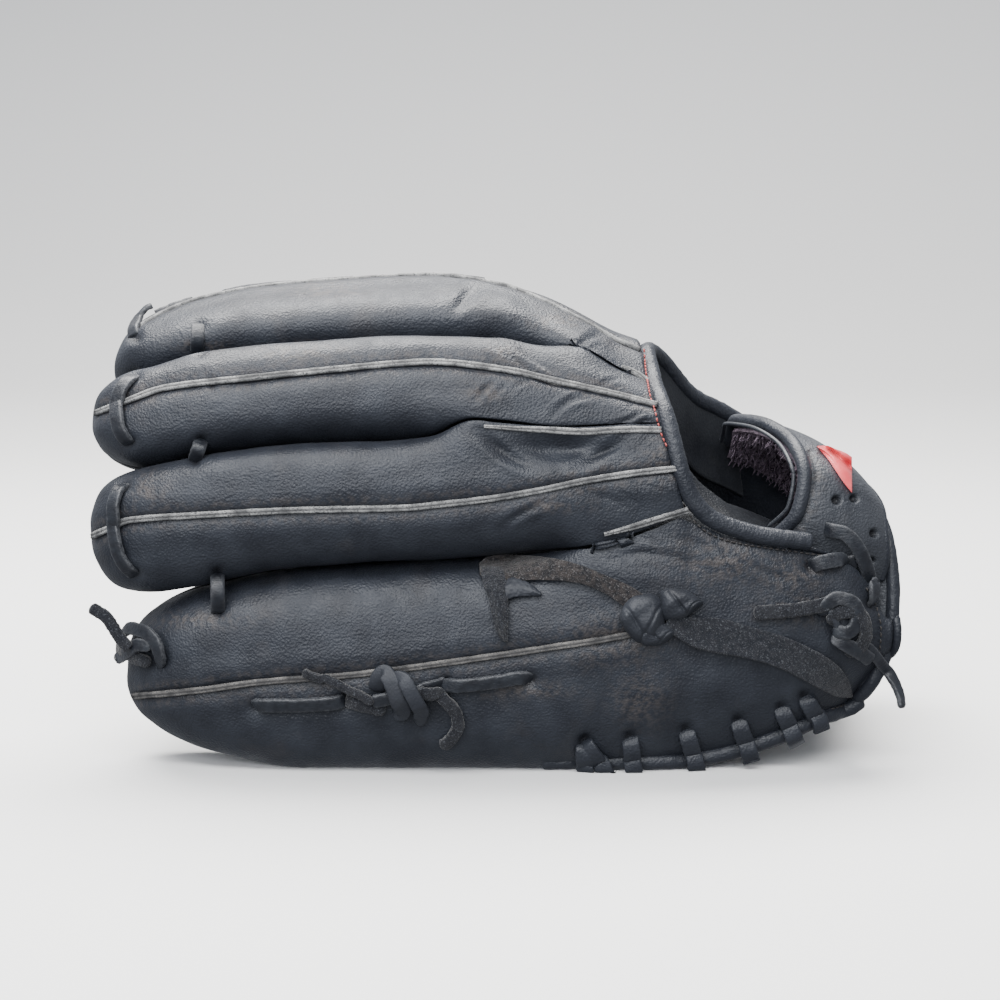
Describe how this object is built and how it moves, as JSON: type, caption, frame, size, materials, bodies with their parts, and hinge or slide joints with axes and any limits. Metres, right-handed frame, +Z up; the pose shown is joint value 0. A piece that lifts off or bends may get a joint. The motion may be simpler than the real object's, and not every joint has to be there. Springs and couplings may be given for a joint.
{
  "type": "softball glove",
  "caption": "Worn black leather softball glove, half closed, with padded fingers, welts, laced web, laced heel, open back and fleece-lined wrist strap.",
  "frame": {"origin": "on the flat face on which the little finger's side of the glove rests, midway between the fingertips' foremost and the heel's rearmost reach", "axes": "+X from the fingertips to the heel, +Y from the little finger's side to the thumb's side, +Z up from the surface it rests on"},
  "size_m": [0.3099, 0.1499, 0.1848],
  "materials": {
    "back_leather": "worn charcoal black leather with a fine grain and a soft sheen",
    "palm_leather": "thicker black leather, smooth and worn",
    "lace_leather": "black rawhide lace with a rough brown-grey underside",
    "welt_leather": "worn light grey leather with dark stitches beside it",
    "binding_leather": "black leather rolled round the edge and stitched",
    "fleece": "matted dark purple-brown fleece",
    "badge": "plain raised red leather"
  },
  "bodies": {
    "root": {"back_little": "back_leather", "back_ring": "back_leather", "back_middle": "back_leather", "back_index": "back_leather", "back_thumb": "back_leather", "palm": "palm_leather", "web": "palm_leather", "wrist_strap": "back_leather", "strap_lining": "fleece", "strap_badge": "badge", "opening_binding": "binding_leather", "heel_binding_little": "binding_leather", "heel_binding_thumb": "binding_leather", "welt_index": "welt_leather", "welt_middle": "welt_leather", "welt_ring": "welt_leather", "welt_little": "welt_leather", "welt_thumb": "welt_leather", "gap_welt_ring": "welt_leather", "gap_welt_middle": "welt_leather", "gap_welt_index": "welt_leather", "tip_lace_index": "lace_leather", "tip_lace_middle": "lace_leather", "tip_lace_ring": "lace_leather", "link_lace_middle": "lace_leather", "link_lace_ring": "lace_leather", "link_lace_little": "lace_leather", "web_lace_index": "lace_leather", "web_lace_thumb": "lace_leather", "side_lace_front": "lace_leather", "side_lace_rear": "lace_leather", "side_tail_short": "lace_leather", "side_tail_curl": "lace_leather", "tie_tail_long": "lace_leather", "tie_tail_wide": "lace_leather", "wrist_lace": "lace_leather", "wrist_tail": "lace_leather", "wrist_tail_low": "lace_leather", "side_knot": "lace_leather", "tie_knot": "lace_leather", "wrist_knot": "lace_leather", "tip_knot": "lace_leather", "tip_tail": "lace_leather", "heel_lace_little_1": "lace_leather", "heel_lace_little_2": "lace_leather", "heel_lace_little_3": "lace_leather", "heel_lace_little_4": "lace_leather", "heel_lace_little_5": "lace_leather", "heel_lace_little_6": "lace_leather", "heel_lace_thumb_1": "lace_leather", "heel_lace_thumb_2": "lace_leather", "heel_lace_thumb_3": "lace_leather", "heel_lace_thumb_4": "lace_leather", "heel_lace_thumb_5": "lace_leather"}
  },
  "joints": []
}
